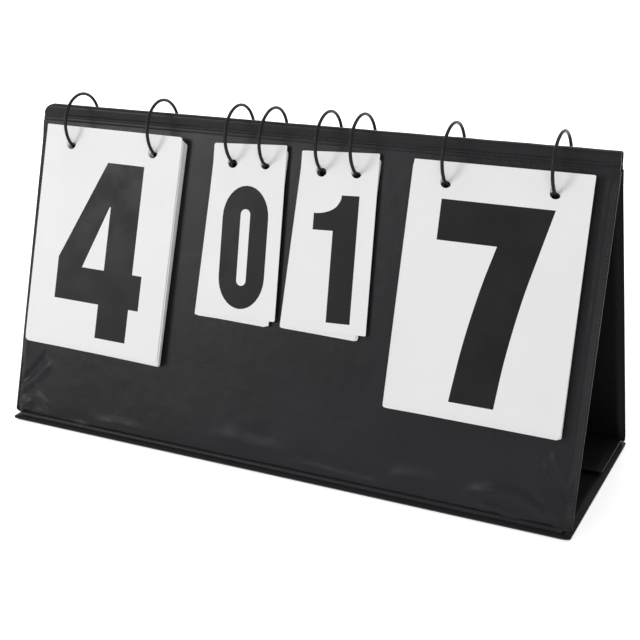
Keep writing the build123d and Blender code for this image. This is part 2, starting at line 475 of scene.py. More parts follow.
def cloth_material(name="coated_cloth", shade=1.0, rough=(0.27, 0.37), specular=0.15):
    """Black coated cloth: fine weave under a thin coat, a little uneven, paler where it is rubbed."""
    colour = tuple(cloth().colour)

    def build(tree, shader, place):
        along = tree.nodes.new("ShaderNodeUVMap")
        along.uv_map = CLOTH_MAP
        weave = placed(tree, weave_group(), Vector=along.outputs["UV"], Threads=1 / cloth().weave_pitch)
        patches = placed(tree, mottle_group(), Vector=place, Scale=9.0)
        wear = placed(tree, wear_group(), Vector=place, Edge=0.55, Scuffs=0.03)
        # shade below 1 darkens the cloth's colour as painted shade, as the linings use it
        base = mixed_colour(tree, patches, tinted(colour, 0.86 * shade), tinted(colour, 1.16 * shade))
        rubbed = tinted(colour, 2.2 * shade, 0.004)
        feed(tree, shader.inputs["Base Color"], mixed_colour(tree, wear, base, rubbed))
        uneven = placed(tree, mottle_group(), Vector=place, Scale=23.0, Low=rough[0], High=rough[1])
        feed(tree, shader.inputs["Roughness"], maths(tree, "MULTIPLY_ADD", wear, 0.1, uneven))
        shader.inputs["Specular IOR Level"].default_value = specular
        rippled = bumped(tree, noise_of(tree, place, 110.0), 0.4, 0.6 * MM)
        feed(tree, shader.inputs["Normal"], bumped(tree, weave, 0.22, 0.06 * MM, rippled))

    return material(name, build)


def lining_painted_shade_material():
    """The same cloth inside the tent, duller, its colour darkened as painted shade for the dim inside of the
    tent.
    """
    return cloth_material("lining_cloth", shade=0.6, rough=(0.42, 0.54), specular=0.08)


def card_material():
    """White plastic card with a satin face."""
    colour = tuple(cards().colour)

    def build(tree, shader, place):
        patches = placed(tree, mottle_group(), Vector=place, Scale=16.0)
        base = mixed_colour(tree, patches, tinted(colour, 0.975), colour)
        hard_face(tree, shader, place, base, (40.0, 0.38, 0.5), 0.12, (2600.0, 0.12, 0.03 * MM))

    return material("white_card", build)


def ink_material():
    """Printed black, a little uneven."""
    colour = tuple(cards().ink_colour)

    def build(tree, shader, place):
        patches = placed(tree, mottle_group(), Vector=place, Scale=30.0)
        base = mixed_colour(tree, patches, colour, tinted(colour, 1.35))
        hard_face(tree, shader, place, base, (60.0, 0.34, 0.46), 0.12, (1800.0, 0.15, 0.03 * MM))

    return material("printed_ink", build)


def wire_material():
    """Black enamel on steel wire, scuffed a little."""
    colour = tuple(bpy.context.scene.scoreboard_rings.colour)

    def build(tree, shader, place):
        wear = placed(tree, wear_group(), Vector=place, Edge=0.0, Scuffs=0.35)
        base = mixed_colour(tree, wear, colour, tinted(colour, 1.0, 0.035))
        hard_face(tree, shader, place, base, (90.0, 0.26, 0.36), 0.14, (900.0, 0.15, 0.04 * MM))

    return material("enamelled_wire", build)


def thread_material():
    """Twisted black sewing thread."""
    dark, pale, twist = (0.008, 0.008, 0.009), (0.04, 0.04, 0.042), (1.0, 0.4, 0.4)
    return dull_material("sewing_thread", dark, pale, 0.7, (0.6, 0.1 * MM), (2400.0, 2.0, twist))


def tape_material():
    """Touch tape with a dull fuzzy face."""
    dark, pale = (0.008, 0.008, 0.009), (0.045, 0.045, 0.048)
    return dull_material("touch_tape_fuzz", dark, pale, 0.95, (0.9, 0.6 * MM), (1500.0, 6.0))


def board_material():
    """Grey recycled board with flecks."""
    dark, pale = (0.20, 0.19, 0.17), (0.34, 0.32, 0.29)
    return dull_material("grey_board_stock", dark, pale, 0.9, (0.4, 0.2 * MM), (700.0, 5.0), (0.35, 0.65))


def finish(piece, made, slot, body=None, node=None):
    """Gives a piece its material and, where they are named, its body, and hides the node it stands for; its
    slot is not used.
    """
    piece.data.materials.clear()
    piece.data.materials.append(made)
    if body:
        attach(piece, body)
    if node:
        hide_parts(node)


# ---------------------------------------------------------------- cloth sheets


def closed_sheet(name, upper, lower, flat):
    """A closed sheet between two grids of points, its UV map from the grid's places on the flat cloth."""
    rows, columns = upper.shape[:2]
    count = rows * columns
    at = np.arange(count).reshape(rows, columns)
    quads = np.stack([at[:-1, :-1], at[:-1, 1:], at[1:, 1:], at[1:, :-1]], -1).reshape(-1, 4)
    rim = np.concatenate([at[0, :], at[1:, -1], at[-1, -2::-1], at[-2:0:-1, 0]])
    after = np.roll(rim, -1)
    sides = np.stack([rim, rim + count, after + count, after], -1)
    faces = np.concatenate([quads, quads[:, ::-1] + count, sides])
    points = np.concatenate([upper.reshape(-1, 3), lower.reshape(-1, 3)])
    mesh = mesh_of(name, points.tolist(), faces.tolist())
    corners = np.concatenate([flat.reshape(-1, 2)] * 2)[faces.reshape(-1)]
    mesh.uv_layers.new(name=CLOTH_MAP).data.foreach_set("uv", corners.astype(np.float32).ravel())
    mesh.update()
    return mesh


def sheet_mesh(name, xs, ys, top, thickness):
    """A closed sheet over a grid of places: its upper face at top and its lower face this much below it.

    xs and ys are arrays of the same shape, so that the outline need not be a rectangle.
    """
    upper, lower = np.stack([xs, ys, top], -1), np.stack([xs, ys, top - thickness], -1)
    return closed_sheet(name, upper, lower, upper[..., :2])


PUNCH_SIDES = 32
PUNCH_REACH = 10 * MM  # how far the punch goes past a cover on each side


def punched(piece, places, diameter, place):
    """Cuts round holes through a piece, at these places of a frame."""
    points, faces = [], []
    for x, y in places:
        faces += tube_faces(len(points), 2, PUNCH_SIDES)
        for z in (-PUNCH_REACH, PUNCH_REACH):
            for turn in turns(PUNCH_SIDES):
                points.append((x + diameter / 2 * cos(turn), y + diameter / 2 * sin(turn), z))
    mesh = mesh_of("punch", points, faces)
    cutter = linked(mesh, place)
    cut = piece.modifiers.new("holes", "BOOLEAN")
    cut.object = cutter
    cut.operation = "DIFFERENCE"
    cut.solver = "EXACT"
    applied(piece)
    bpy.data.objects.remove(cutter)
    bpy.data.meshes.remove(mesh)


def evaluated(thing):
    """A new mesh of an object as its modifiers, or a curve's fill and thickness, make it."""
    graph = bpy.context.evaluated_depsgraph_get()
    graph.update()
    shape = thing.evaluated_get(graph)
    return bpy.data.meshes.new_from_object(shape, preserve_all_data_layers=True, depsgraph=graph)


def applied(piece):
    """Applies a piece's modifiers."""
    made, old = evaluated(piece), piece.data
    piece.modifiers.clear()
    piece.data = made
    made.name = piece.name
    bpy.data.meshes.remove(old)


PATH_STEPS = 6


def curved(path):
    """A path with more points, rounded through the ones it is given."""
    points = [Vector(p) for p in path]
    points = [2 * points[0] - points[1], *points, 2 * points[-1] - points[-2]]
    found = []
    for a, b, c, d in zip(points, points[1:], points[2:], points[3:]):
        for t in (step / PATH_STEPS for step in range(PATH_STEPS)):
            square = (2 * a - 5 * b + 4 * c - d) * t * t
            found.append(0.5 * (2 * b + (c - a) * t + square + (3 * b - a - 3 * c + d) * t**3))
    return [tuple(p) for p in [*found, points[-2]]]


def near_path(x, y, path):
    """Each place's distance from a path, negative on its right, and how far along it, from 0 to 1."""
    path = np.array(path)
    legs = np.linalg.norm(np.diff(path, axis=0), axis=1)
    far, side, along = np.full(x.shape, 1.0), np.zeros(x.shape), np.zeros(x.shape)
    before = 0.0
    for start, end, leg in zip(path, path[1:], legs):
        ux, uy = (end - start) / leg
        t = np.clip((x - start[0]) * ux + (y - start[1]) * uy, 0, leg)
        dx, dy = x - start[0] - t * ux, y - start[1] - t * uy
        away = np.hypot(dx, dy)
        closer = away < far
        far = np.where(closer, away, far)
        side = np.where(closer, np.sign(dy * ux - dx * uy), side)
        along = np.where(closer, (before + t) / legs.sum(), along)
        before += leg
    return far * side, along


FOLD_SKEW = 0.3  # share by which a fold's left side is wider, and its right side narrower, than listed
FOLD_ENDS = (0.25, 0.3)  # shares of a fold's length over which it rises and dies away


def fold(x, y, path, width, height):
    """One fold of the cloth along a path, dying away at both ends and steeper on its right."""
    off, along = near_path(x, y, curved(path))
    broad = np.where(off > 0, width * (1 + FOLD_SKEW), width * (1 - FOLD_SKEW))
    taper = smooth(along / FOLD_ENDS[0]) * smooth((1 - along) / FOLD_ENDS[1])
    return height * taper * np.exp(-((off / broad) ** 2))


# Folds of a cover: path in millimetres (across, down the slope), width in millimetres, and height as a share
# of the relief, negative for a dent
FRONT_FOLDS = (
    (((-176, 170), (-189, 186), (-199, 198)), 2.4, -1.15),
    (((-172, 176), (-184, 190), (-197, 201)), 2.6, 0.7),
    (((-183, 194), (-191, 201), (-198, 206)), 1.8, -0.9),
    (((-186, 201), (-178, 205), (-170, 210)), 1.5, 0.75),
    (((-195, 213), (-190, 209), (-185, 210)), 1.3, 0.5),
    (((-190, 214), (-180, 211), (-171, 214)), 3.2, -0.7),
    (((-168, 215), (-148, 213), (-128, 215)), 2.4, -0.5),
    (((-152, 216), (-142, 216.5), (-134, 216)), 1.5, 0.45),
    (((-134, 214), (-112, 211), (-88, 214)), 3.0, 0.3),
    (((178, 177), (188, 191), (200, 205)), 2.0, -1.15),
    (((182, 173), (192, 187), (200, 196)), 2.6, 0.65),
    (((132, 207), (152, 203.5), (168, 204), (182, 209), (199, 221)), 2.9, 1.25),
    (((136, 211), (156, 210), (172, 212.5), (186, 217)), 2.0, -0.85),
    (((142, 214.5), (158, 215), (174, 217)), 1.6, 0.75),
    (((84, 207), (106, 204.5), (130, 206)), 3.6, 0.7),
    (((20, 206), (52, 209), (86, 211)), 3.4, -0.5),
    (((-40, 203), (-8, 206), (24, 205)), 4.2, 0.45),
    (((150, 196), (168, 198), (184, 206)), 2.6, -0.75),
)
BACK_FOLDS = (
    (((168, 172), (186, 188), (199, 204)), 2.4, -1.0),
    (((176, 169), (190, 183), (199, 195)), 2.8, 0.6),
    (((182, 200), (190, 205), (198, 209)), 1.8, 0.6),
    (((60, 206), (92, 203), (128, 206), (150, 213)), 3.2, 0.6),
    (((-30, 210), (2, 207), (34, 209)), 3.4, 0.4),
    (((-176, 172), (-186, 184), (-198, 192)), 2.2, -0.9),
    (((-172, 180), (-184, 193), (-198, 203)), 2.6, 0.7),
    (((-150, 213), (-122, 208), (-92, 211)), 3.0, 0.45),
)


CREASED_EDGE = 30 * MM  # finely divided border of a cover at its two ends
CREASED_FOOT = 52 * MM  # finely divided border of a cover at its foot


def board_grid(low, high):
    """Places over a covered board, closer together where its cloth creases."""
    fine, coarse = 1.1 * MM, 2.6 * MM
    across = edged_steps(-CLOTH_WIDTH / 2, CLOTH_WIDTH / 2, CREASED_EDGE, fine, coarse)
    up = joined_steps((low, low + CREASED_FOOT, fine * 1.1), (low + CREASED_FOOT, high, coarse))
    return np.meshgrid(across, up)


def hem_drop(x, width, depth):
    """How far a face falls towards the middle of the board over the hem at each end."""
    inside = width / 2 - np.abs(x)
    return depth * (1 - smooth(inside / cloth().hem)) ** 1.2


def rounded_outline(x, y, width, low, high, radius, all_round=True):
    """Pulls the corners of a grid in to this radius, the upper ones only if it is rounded all round."""
    fx, fy = (np.abs(x) - (width / 2 - radius)) / radius, (low + radius - y) / radius
    top = (y - (high - radius)) / radius if all_round else np.full(y.shape, -1.0)
    fy = np.maximum(fy, top)
    corner = (fx > 0) & (fy > 0)
    reach, far = np.maximum(fx, fy), np.hypot(fx, fy)
    shrink = np.where(corner, reach / np.maximum(far, 1e-9), 1.0)
    nx = np.where(corner, np.sign(x) * (width / 2 - radius + fx * shrink * radius), x)
    down = np.where(top > 0, high - radius + fy * shrink * radius, low + radius - fy * shrink * radius)
    return nx, np.where(corner, down, y)


def panel_limits(side):
    """Top and foot of a panel's cover in its slope's frame."""
    points = in_frame(f"{side}_cover", slope(side))
    return points[:, 1].max(), points[:, 1].min() - FOOT_LAP


HOLE_SEARCH = 6 * MM  # how far either side of a ring the corners of its hole are looked for


def ring_holes(side):
    """Middle of each ring's hole through a panel, and the holes' diameter, in the slope's frame."""
    points = in_frame(f"{side}_board", slope(side))
    x, y, z = points.T
    on_face = (z > z.max() - MM / 10) & (y < y.max() - MM) & (y > y.min() + MM)
    found = []
    for name in STACKS:
        for hand in ("left", "right"):
            low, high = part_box(f"{name}_ring_{hand}")
            across = (low.x + high.x) / 2 * (1 if side == "front" else -1)
            hole = y[on_face & (np.abs(x - across) < HOLE_SEARCH)]
            found.append((across, (hole.max() + hole.min()) / 2))
    return found, float(hole.max() - hole.min())


BAND_HOLDS = 14 * MM  # down from a cover's top, where the ridge band keeps it from creasing
HEM_GATHERS = (4.2 * MM, 3.4 * MM)  # middle of the gathers from a cover's end, and half their width
CRUMPLED_BELOW = 168 * MM  # down the slope, where the loose part of a cover starts
FOOT_ROLL = (7.5 * MM, 2.0 * MM)  # height of the roll at a cover's foot, and how much it varies
ROLL_DEPTH = 1.25 * MM
WORN_CORNER = (172 * MM, 160 * MM)  # across and down, where the sunken corner at the home end starts
WORN_SPAN = 26 * MM  # over how far it sinks to its full depth
WORN_DEPTH = 0.9 * MM


def outer_face(side, x, y, low, high):
    """Height of a panel's outer cover over its grid: hems, gathers, the roll at its foot and its folds."""
    seed = {"front": 3.0, "back": 17.0}[side]
    inside, down = CLOTH_WIDTH / 2 - np.abs(x), -y
    free = 1 - 0.8 * smooth(1 - (high - y) / BAND_HOLDS)
    top = -hem_drop(x, CLOTH_WIDTH, PANEL / 2 - cloth().cover) * free
    top = top + 0.09 * MM * wavy(x, y, 46 * MM, seed, 1) - 0.06 * MM
    gathered = bump((inside - HEM_GATHERS[0]) / HEM_GATHERS[1])
    dents = wavy(np.sign(x) * 3.0, y, 6.5 * MM, seed)
    top = top + MM * gathered * (0.26 + 0.34 * dents) * free
    crumpled = smooth((down - CRUMPLED_BELOW) / (12 * MM))
    top = top + crumpled * 0.16 * MM * wavy(x, y, 17 * MM, seed + 5)
    turned = FOOT_ROLL[0] + FOOT_ROLL[1] * wavy(x, y, 30 * MM, seed + 8, 1)
    top = top - ROLL_DEPTH * (1 - smooth((y - low) / turned)) ** 2
    home = -x if side == "front" else x
    worn = smooth((home - WORN_CORNER[0]) / WORN_SPAN) * smooth((down - WORN_CORNER[1]) / WORN_SPAN)
    top = top - WORN_DEPTH * worn
    for path, broad, height in FRONT_FOLDS if side == "front" else BACK_FOLDS:
        placed_path = [(across * MM, -below * MM) for across, below in path]
        top = top + fold(x, y, placed_path, broad * MM, height * cloth().relief)
    return top


def lining_face(side, x, y):
    """Height of a panel's lining over its grid, on the side towards the board: its hems and gathers."""
    seed = {"front": 43.0, "back": 57.0}[side]
    rise = hem_drop(x, CLOTH_WIDTH, PANEL / 2 - cloth().cover)
    edge = bump((CLOTH_WIDTH / 2 - np.abs(x) - 4 * MM) / (4 * MM))
    gathers = 0.2 * MM * edge * wavy(x, y, 7 * MM, seed)
    return -PANEL + cloth().cover + rise + gathers + 0.06 * MM * wavy(x, y, 30 * MM, seed, 1)


def panel_sheet(side, kind):
    """Outer cover or lining of a sloping panel, with its creases, hems and ring holes."""
    high, low = panel_limits(side)
    low += 0.0 if kind == "cover" else FOOT_LAP
    x, y = board_grid(low, high)
    x, y = rounded_outline(x, y, CLOTH_WIDTH, low, high, 1.6 * MM, all_round=False)
    top = outer_face(side, x, y, low, high) if kind == "cover" else lining_face(side, x, y)
    mesh = sheet_mesh(f"{side}_{kind}_cloth", x, y, top, cloth().cover)
    piece = linked(mesh, slope(side))
    punched(piece, *ring_holes(side), slope(side))
    shaded(piece.data)
    # linings take the cloth darkened as painted shade
    made, slot = (cloth_material(), "fabric") if kind == "cover" else (lining_painted_shade_material(), "lining")
    finish(piece, made, slot, f"{side}_panel", f"{side}_{kind}")


class PanelCovers(bpy.types.Operator):
    """Outer covers and linings of the two sloping panels"""

    bl_idname = "scoreboard.panel_covers"
    bl_label = "Panel covers"

    def execute(self, context):
        for side in ("front", "back"):
            for kind in ("cover", "lining"):
                panel_sheet(side, kind)
        return {"FINISHED"}


# ---------------------------------------------------------------- ridge band and creases


def section_sheet(name, xs, section, ends, thickness):
    """A closed sheet that follows a section of (y, z, ny, nz) places along X, its ends at ends(index)."""
    places = np.array(section)
    lows, highs = np.array([ends(index) for index in range(len(section))]).T[..., None]
    x = lows + (highs - lows) * xs
    whole = np.ones_like(x)
    outer = np.stack([x, whole * places[:, :1], whole * places[:, 1:2]], -1)
    inner = outer.copy()
    inner[..., 1:] -= places[:, None, 2:] * thickness
    run = np.concatenate([[0.0], np.cumsum(np.hypot(*np.diff(places[:, :2], axis=0).T))])
    return closed_sheet(name, outer, inner, np.stack([x, whole * run[:, None]], -1))


BAND = 0.8 * MM  # two layers of cloth sewn together
SEAM_DROP = 8.3 * MM  # first seam down the slope, from which the band stands up and rolls over the ridge
CUT_CORNER = 8.5 * MM  # rounded corner of the band at the home end
ROLL_STEPS = 8  # steps of the quarter round over the ridge
BEND_REACH = 5 * MM  # how far either side of the ridge a bend of the band would reach; the band is not bent


def groove(depth, away, width):
    """How far thread pulls the band in, this far away from a seam."""
    return depth * np.exp(-((away / width) ** 2))


def ridge_section():
    """Section of the band over the ridge, from the foot of its front half to the foot of its back half."""
    angle, apex = lean(), cloth().apex_height
    foot = -in_frame("ridge_band_front", slope("front"))[:, 1].min()
    roll = SEAM_DROP * sin(angle)
    out, up = -cos(angle), sin(angle)
    section = []
    for down in steps(foot, SEAM_DROP, 0.4 * MM):
        seams = groove(0.3 * MM, down - SEAM_DROP, 0.6 * MM) + groove(0.28 * MM, down - foot, 0.6 * MM)
        rise = 0.12 * MM * bump((down - (SEAM_DROP + foot) / 2) / (1.4 * MM)) - seams
        section.append((-down * sin(angle) + rise * out, apex - down * cos(angle) + rise * up, out, up))
    seam, top = apex - SEAM_DROP * cos(angle), apex - roll
    for height in steps(seam, top, 0.6 * MM)[1:]:
        swell = 0.14 * MM * sin(pi * (height - seam) / (top - seam))
        pinch = groove(0.3 * MM, height - seam, 1.1 * MM)
        section.append((-roll + pinch - swell, height, -1.0, 0.0))
    for turn in (pi / 2 * step / ROLL_STEPS for step in range(1, ROLL_STEPS + 1)):
        section.append((-roll * cos(turn), top + roll * sin(turn), -cos(turn), sin(turn)))
    mirrored = [(-y, z, -ny, nz) for y, z, ny, nz in section[:-1]][::-1]
    return section + mirrored


class RidgeBand(bpy.types.Operator):
    """Soft band over the ridge"""

    bl_idname = "scoreboard.ridge_band"
    bl_label = "Ridge band"

    def execute(self, context):
        section = ridge_section()
        apex = cloth().apex_height

        def ends(index):
            down = max(apex - section[index][1], 0.0)
            cut = CUT_CORNER - (CUT_CORNER**2 - max(CUT_CORNER - down, 0.0) ** 2) ** 0.5
            return -WIDTH / 2 + cut, WIDTH / 2 - 0.4 * MM * bump(down / (2 * MM))

        xs = edged_steps(0.0, 1.0, 0.03, 0.0025, 0.006)  # as shares of the band's width
        mesh = section_sheet("ridge_band_cloth", xs, section, ends, BAND)
        piece = linked(mesh)
        points = np.array([v.co for v in mesh.vertices])
        sag = 0.22 * MM * wavy(points[:, 0], points[:, 2], 34 * MM, 71.0)
        points[:, 2] -= np.abs(sag) * smooth((points[:, 2] - (apex - 9 * MM)) / (5 * MM))
        mesh.vertices.foreach_set("co", points.astype(np.float32).ravel())
        shaded(mesh, 50.0)
        finish(piece, cloth_material(), "fabric")
        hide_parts("ridge_band_front", "ridge_band_back")
        turn_at, reach = Vector(JOINTS["ridge_fold"]["pos_m"]), Vector((0, BEND_REACH, 0))
        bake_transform(piece)
        along = sum(hypot(b[0] - a[0], b[1] - a[1]) for a, b in zip(section, section[1:]))
        return {"FINISHED"}


CREASE_START = 0.45 * MM  # how far below the cover's face the cloth of a crease starts
CREASE_DEPTH = 0.8 * MM  # how much deeper it goes in the middle


def crease_strip(side, width):
    """The cloth across the crease at a panel's foot, from inside its cover to the board that folds on it."""
    node = f"{side}_hinge_strip"
    place = slope(side)
    points = in_frame(node, place)
    high, low = points[:, 1].max() + 0.4 * MM, points[:, 1].min()
    x, y = np.meshgrid(steps(-width / 2, width / 2, 2.0 * MM), steps(low, high, 0.3 * MM))
    t = (y - low) / (high - low)
    top = -CREASE_START - CREASE_DEPTH * np.sin(pi * t) ** 0.7 + 0.08 * MM * wavy(x, y, 9 * MM, 12.0)
    piece = linked(sheet_mesh(f"{side}_crease_cloth", x, y, top, cloth().cover * 0.8), place)
    shaded(piece.data)
    finish(piece, cloth_material(), "fabric", node=node)
    depth = middle_of(node).y
    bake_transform(piece)


class Creases(bpy.types.Operator):
    """Cloth hinges at the feet of the two panels"""

    bl_idname = "scoreboard.creases"
    bl_label = "Creases"

    def execute(self, context):
        crease_strip("front", size_of("front_hinge_strip").x)
        crease_strip("back", WIDTH - MM)
        return {"FINISHED"}


# ---------------------------------------------------------------- base and flap


EDGE_CLOSE = 1.4 * MM  # over which the cover and lining of a flat board come together at its long edges


def flat_sheet(node, upper, made, slot, seed):
    """A cover or lining of a board that lies flat, its upper or its lower sheet."""
    body = node.split("_")[0]
    low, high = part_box(node)
    width, depth = high.x - low.x + 2 * HEM_EASE, high.y - low.y
    across = edged_steps(-width / 2, width / 2, 14 * MM, 1.4 * MM, 4 * MM)
    back = edged_steps(-depth / 2, depth / 2, 5 * MM, 0.45 * MM, 3 * MM)
    x, y = np.meshgrid(across, back)
    x, y = rounded_outline(x, y, width, -depth / 2, depth / 2, 2.0 * MM)
    skin = cloth().cover
    fall = high.z - low.z - skin
    edge = depth / 2 - np.abs(y)
    drop = np.maximum(hem_drop(x, width, fall), fall * (1 - smooth(edge / EDGE_CLOSE)) ** 1.5)
    gathered = 0.12 * MM * bump((edge - 1.2 * MM) / (2.2 * MM)) * wavy(x, y, 4 * MM, seed)
    if upper:
        top = high.z - drop + gathered + 0.06 * MM * (wavy(x, y, 40 * MM, seed, 1) - 1)
    else:
        top = low.z + skin + drop
    piece = linked(sheet_mesh(f"{node}_cloth", x, y + (low.y + high.y) / 2, top, skin))
    shaded(piece.data)
    finish(piece, made, slot, body, node)


class BaseAndFlap(bpy.types.Operator):
    """Covers of the base board and of the closure flap"""

    bl_idname = "scoreboard.base_and_flap"
    bl_label = "Base and flap"

    def execute(self, context):
        flat_sheet("base_cover", False, cloth_material(), "fabric", 5.0)
        # the linings' colour is darkened as painted shade of the tent's inside
        flat_sheet("base_lining", True, lining_painted_shade_material(), "lining", 9.0)
        flat_sheet("flap_cover", True, cloth_material(), "fabric", 13.0)
        flat_sheet("flap_lining", False, lining_painted_shade_material(), "lining", 21.0)
        return {"FINISHED"}


# ---------------------------------------------------------------- stitching


# Along a stitch: how far it has come, its rise and its thickness, as shares of its length and gauge
STITCH = ((0.0, 0.0, 0.35), (0.2, 0.7, 0.9), (0.5, 1.0, 1.0), (0.8, 0.7, 0.9), (1.0, 0.0, 0.35))
THREAD_SIDES = 6
HEM_THREAD = (1.7 * MM, 2.6 * MM, 0.36 * MM)  # length, pitch and gauge of the stitches
BAND_THREAD = (2.3 * MM, 3.2 * MM, 0.3 * MM)


def stitch_row(places, normal, length, pitch, gauge):
    """Points of short thread stitches along a line of places: a list for each stitch, ring after ring."""
    places, normal = np.array(places), np.array(normal)
    run = np.concatenate([[0.0], np.cumsum(np.linalg.norm(np.diff(places, axis=0), axis=1))])
    for number in range(int((run[-1] - length) / pitch)):
        rings = []
        for share, rise, fat in STITCH:
            at = number * pitch + pitch / 2 + length * share
            place = np.array([np.interp(at, run, places[:, axis]) for axis in range(3)])
            rings.append((place + normal * gauge * (0.55 * rise - 0.25), fat * gauge / 2))
        line = rings[-1][0] - rings[0][0]
        side = np.cross(line / np.linalg.norm(line), normal)
        yield [
            tuple(middle + radius * (side * cos(turn) + normal * sin(turn)))
            for middle, radius in rings
            for turn in turns(THREAD_SIDES)
        ]


def stitched(name, rows, body):
    """One piece of thread from several rows of stitches."""
    points, faces = [], []
    for row in rows:
        for stitch in stitch_row(*row):
            faces += tube_faces(len(points), len(STITCH), THREAD_SIDES)
            points += stitch
    mesh = mesh_of(name, points, faces)
    mesh.shade_smooth()
    mesh.update()
    finish(linked(mesh), thread_material(), "fabric", body)


def hem_row(side, end):
    """Stitching line down the hem of a panel at one end, and its normal, on the outer face."""
    place = slope(side)
    high, low = panel_limits(side)
    x = end * (WIDTH / 2 - 0.9 * MM)
    drop = hem_drop(np.array([x]), CLOTH_WIDTH, PANEL / 2 - cloth().cover)[0]
    points = [place @ Vector((x, y, -drop + 0.02 * MM)) for y in steps(low + 4 * MM, high - 2 * MM, 3 * MM)]
    return points, place.to_3x3() @ Vector((end * 0.3, 0, 1)).normalized()


def band_row(side, down):
    """Stitching line along a seam of the ridge band this far down the slope, and its normal."""
    place = slope(side)
    xs = steps(-WIDTH / 2 + 2 * MM, WIDTH / 2 - 2 * MM, 4 * MM)
    return [place @ Vector((x, -down, -0.3 * MM)) for x in xs], place.to_3x3() @ Vector((0, 0, 1))


class Stitching(bpy.types.Operator):
    """Rows of thread down the hems and along the ridge band's seams"""

    bl_idname = "scoreboard.stitching"
    bl_label = "Stitching"

    def execute(self, context):
        for side in ("front", "back"):
            rows = [(*hem_row(side, end), *HEM_THREAD) for end in (-1, 1)]
            rows += [(*band_row(side, down), *BAND_THREAD) for down in (SEAM_DROP, -panel_limits(side)[0])]
            stitched(f"{side}_stitching", rows, f"{side}_panel")
        return {"FINISHED"}


# ---------------------------------------------------------------- boards and tapes


BOARD_GRID = 2.2 * MM
BOARD_CLEAR = 0.5 * MM  # least distance of a board's face below its cover
BOARD_LEAST = 0.15 * MM  # least thickness of a board where it is pressed in


def crushed_board(side):
    """A panel's board, pressed in wherever its cover is and kept clear below it."""
    node = f"{side}_board"
    points = in_frame(node, slope(side))
    (left, low, bottom), (right, high, top) = points.min(axis=0), points.max(axis=0)
    x, y = np.meshgrid(steps(left, right, BOARD_GRID), steps(low, high, BOARD_GRID))
    limit, foot = panel_limits(side)
    under = outer_face(side, x, y, foot, limit) - cloth().cover - BOARD_CLEAR
    face = np.maximum(np.minimum(top, under), bottom + BOARD_LEAST)
    piece = linked(sheet_mesh(f"{side}_board_core", x, y, face, face - bottom), slope(side))
    punched(piece, *ring_holes(side), slope(side))
    shaded(piece.data)
    finish(piece, board_material(), "grey_board", f"{side}_panel", node)


class BoardsAndTapes(bpy.types.Operator):
    """Grey boards inside the covers, and the touch tapes"""

    bl_idname = "scoreboard.boards_and_tapes"
    bl_label = "Boards and tapes"

    def execute(self, context):
        for side in ("front", "back"):
            crushed_board(side)
        for name in ("base_board", "flap_board"):
            finish(frame["nodes"][name], board_material(), "grey_board")
        for name in ("loop_tape", "hook_tape"):
            finish(frame["nodes"][name], tape_material(), "touch_tape")
        return {"FINISHED"}


# ---------------------------------------------------------------- rings


RING_STEPS = 120
WIRE_SIDES = 18
WIRE_ROUNDING = 0.18  # rounding of a ring's cut ends over the wire's thickness


def ring_mesh(name, centre, radius, wire, opening):
    """A split wire ring in the YZ plane, its cut ends rounded over."""
    start, end = -pi / 2 + opening / radius / 2, 3 * pi / 2 - opening / radius / 2
    rounding = WIRE_ROUNDING * wire
    # how far along the wire each ring of points stands, and how much thinner the wire is there
    nose = [(0.0, rounding), (0.3 * rounding, 0.3 * rounding), (rounding, 0.0)]
    stations = [(start + run / radius, wire / 2 - cut) for run, cut in nose]
    stations += [(around, wire / 2) for around in np.linspace(start, end, RING_STEPS + 1)[1:-1]]
    stations += [(end - run / radius, wire / 2 - cut) for run, cut in reversed(nose)]
    points = []
    for around, thick in stations:
        for turn in turns(WIRE_SIDES):
            reach = radius + thick * cos(turn)
            y, z = centre.y + reach * cos(around), centre.z + reach * sin(around)
            points.append((centre.x + thick * sin(turn), y, z))
    mesh = mesh_of(name, points, tube_faces(0, len(stations), WIRE_SIDES))
    mesh.flip_normals()
    shaded(mesh, 60.0)
    return mesh


HOLE_BELOW = 15 * MM  # from a ring's middle down to the holes that it passes through
ROUND_WIRE = 1.15  # diameter of the round wire over the width of the construction's eight-sided rods
LEANS = (0.6, -0.8, -0.4, 2.0, 0.7, -0.6, 0.5, -0.7)  # of each ring, in degrees, from the home end on


class Rings(bpy.types.Operator):
    """Split wire rings over the ridge"""

    bl_idname = "scoreboard.rings"
    bl_label = "Rings"

    def execute(self, context):
        opening = context.scene.scoreboard_rings.opening
        nodes = [f"{name}_ring_{hand}" for name in STACKS for hand in ("left", "right")]
        for node, angle in zip(nodes, LEANS):
            size, centre = size_of(node), middle_of(node)
            radius = (size.z - size.x) / 2
            mesh = ring_mesh(f"{node}_wire", centre, radius, ROUND_WIRE * size.x, opening)
            hole = Matrix.Translation(centre - Vector((0, 0, HOLE_BELOW)))
            piece = linked(mesh, hole @ Matrix.Rotation(radians(angle), 4, "Y") @ hole.inverted())
            finish(piece, wire_material(), "wire", node, node)
        return {"FINISHED"}


# ---------------------------------------------------------------- cards


TURNS_TRIED = np.radians(np.linspace(-7, 7, 281))  # a card's turn is found to a twentieth of a degree


class Card:
    """Where one card of the construction lies: its corner, turn and thickness in its slope's frame."""

    def __init__(self, points):
        best = None
        for turn in TURNS_TRIED:
            u = points[:, 0] * cos(turn) + points[:, 1] * sin(turn)
            v = -points[:, 0] * sin(turn) + points[:, 1] * cos(turn)
            spread = (u.max() - u.min()) * 2 + (v.max() - v.min())
            if best is None or spread < best[0]:
                best = (spread, turn, u, v)
        _, self.turn, u, v = best
        self.width, self.height = u.max() - u.min(), v.max() - v.min()
        self.low, self.thick = points[:, 2].min(), points[:, 2].max() - points[:, 2].min()
        self.mid, self.top = (u.max() + u.min()) / 2, v.max()

    def place(self):
        """Frame of the card: origin in the middle of its top edge, on its underside."""
        x = self.mid * cos(self.turn) - self.top * sin(self.turn)
        y = self.mid * sin(self.turn) + self.top * cos(self.turn)
        return Matrix.Translation((x, y, self.low)) @ Matrix.Rotation(self.turn, 4, "Z")


